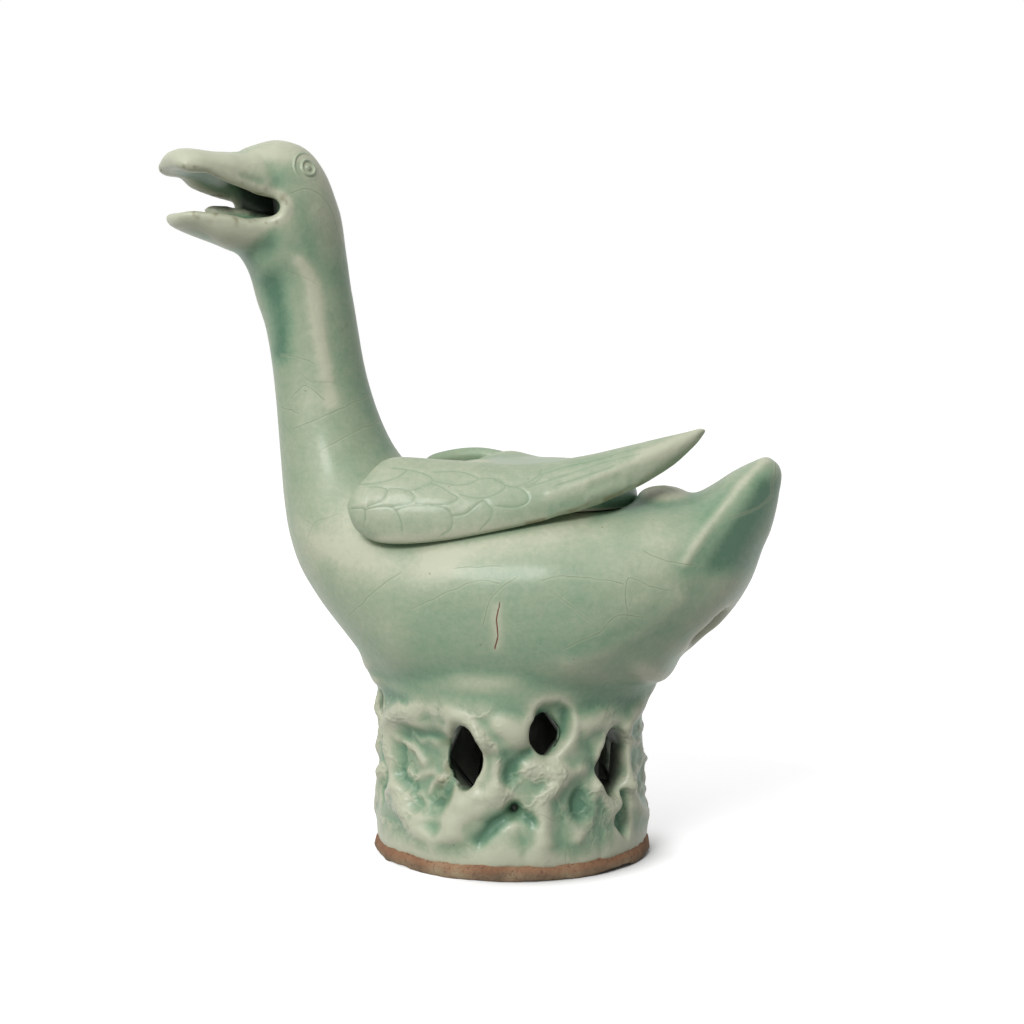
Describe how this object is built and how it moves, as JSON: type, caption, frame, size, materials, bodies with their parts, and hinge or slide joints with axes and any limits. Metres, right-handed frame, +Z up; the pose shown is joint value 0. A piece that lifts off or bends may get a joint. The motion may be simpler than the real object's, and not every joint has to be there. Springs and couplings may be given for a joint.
{
  "type": "duck-shaped incense burner",
  "caption": "Hollow green-glazed stoneware bird on a pierced rock pedestal; its winged back lifts off as a lid, and incense smoke leaves by the open beak.",
  "frame": {"origin": "on the standing surface, under the middle of the object's whole length and width", "axes": "+Z up, the beak towards -X, the bird's left side towards -Y"},
  "size_m": [0.1826, 0.086, 0.2109],
  "materials": {
    "glaze": "glossy pale green celadon glaze, darker where it pools and creamy on the edges",
    "wing_glaze": "the same glaze over incised feathers",
    "bare_clay": "unglazed stoneware, burnt orange brown"
  },
  "bodies": {
    "censer": {"rock_pedestal": "glaze", "foot_ring": "bare_clay", "rump": "glaze", "belly_left": "glaze", "belly_right": "glaze", "breast": "glaze", "tail": "glaze", "rear_lug": "glaze", "neck": "glaze", "head": "glaze", "upper_bill": "glaze", "lower_bill": "glaze", "tongue": "glaze", "left_eye_ring": "glaze", "right_eye_ring": "glaze", "left_pupil": "glaze", "right_pupil": "glaze"},
    "cover": {"cover_back": "wing_glaze", "cover_flange": "bare_clay", "left_wing": "wing_glaze", "right_wing": "wing_glaze"}
  },
  "joints": [
    {"name": "cover_lift", "type": "slide", "parent": "censer", "child": "cover", "axis": [0, 0, 1], "range_m": [0, 0.08]}
  ]
}
